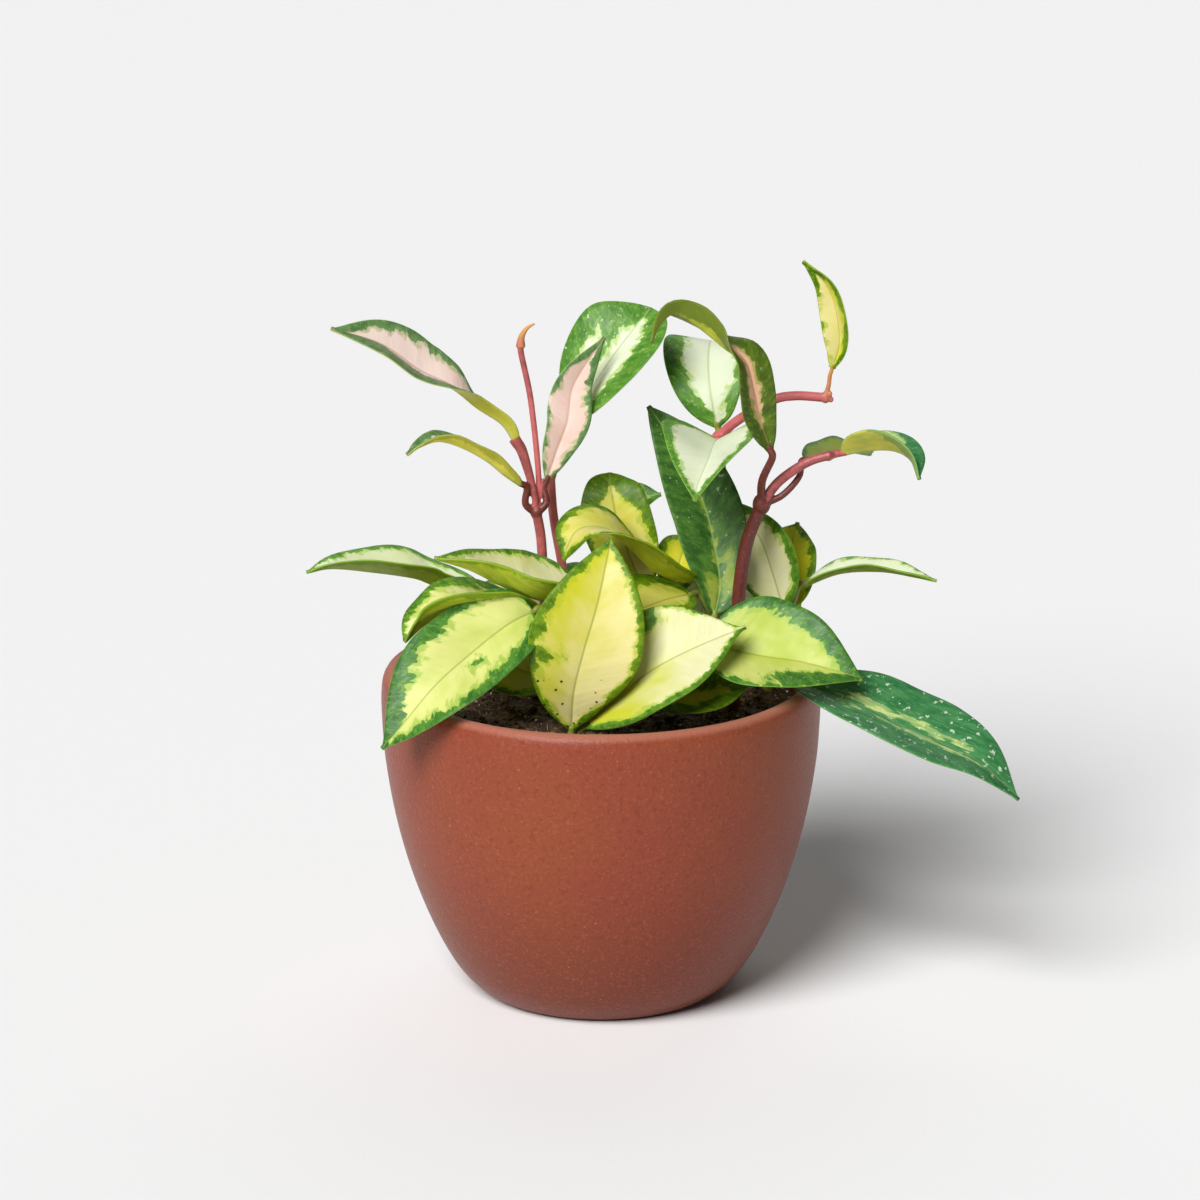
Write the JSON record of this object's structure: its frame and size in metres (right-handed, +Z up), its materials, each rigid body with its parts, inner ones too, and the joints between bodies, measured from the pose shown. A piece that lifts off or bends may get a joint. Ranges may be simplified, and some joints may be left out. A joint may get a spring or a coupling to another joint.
{
  "type": "potted krimson princess hoya",
  "caption": "Bushy wax plant with thick folded green leaves, cream and pink centres, on reddish stems, growing in soil in a round tapering terracotta planter.",
  "frame": {"origin": "centre of the pot's flat bottom, on the pot's axis", "axes": "+Z up along the pot's axis, +X to the right and -Y towards the viewer as the picture's front view shows it"},
  "size_m": [0.2077, 0.1377, 0.2185],
  "materials": {
    "terracotta": "matte",
    "compost": "matte",
    "dark_stem": "satin",
    "pink_stem": "satin",
    "green_stem": "satin",
    "yellow_leaf": "satin",
    "cream_leaf": "satin",
    "green_leaf": "satin",
    "olive_leaf": "satin",
    "pale_leaf": "satin",
    "blush_leaf": "satin"
  },
  "bodies": {
    "root": {"pot": "terracotta", "soil": "compost", "vine_right_front": "dark_stem", "vine_right_middle": "pink_stem", "vine_right_back": "green_stem", "vine_left_tall": "pink_stem", "vine_left_back": "pink_stem", "vine_front": "green_stem", "vine_left_front": "green_stem", "vine_left": "green_stem", "vine_centre": "green_stem", "vine_low": "green_stem", "vine_back": "green_stem", "vine_back_right": "green_stem", "leaf_m": "yellow_leaf", "leaf_o": "cream_leaf", "leaf_n": "cream_leaf", "leaf_p": "cream_leaf", "leaf_q": "green_leaf", "leaf_r": "olive_leaf", "leaf_s": "cream_leaf", "leaf_f": "green_leaf", "leaf_e1": "pale_leaf", "leaf_e2": "pale_leaf", "leaf_a3": "blush_leaf", "leaf_b1": "pale_leaf", "leaf_k": "cream_leaf", "leaf_j": "cream_leaf", "leaf_l": "cream_leaf", "leaf_t1": "yellow_leaf", "leaf_t2": "yellow_leaf", "leaf_w": "cream_leaf", "leaf_g": "pale_leaf", "leaf_h": "olive_leaf", "leaf_i": "cream_leaf", "leaf_c1": "green_leaf", "leaf_c2": "olive_leaf", "leaf_c3": "olive_leaf", "leaf_a1": "blush_leaf", "leaf_a2": "olive_leaf", "leaf_d1": "yellow_leaf", "leaf_u": "green_leaf", "leaf_v": "olive_leaf", "leaf_back_low": "cream_leaf", "leaf_back_middle": "green_leaf", "leaf_back_right": "cream_leaf", "leaf_back_left": "cream_leaf", "leaf_back_centre": "green_leaf", "leaf_back_high": "cream_leaf"}
  },
  "joints": []
}
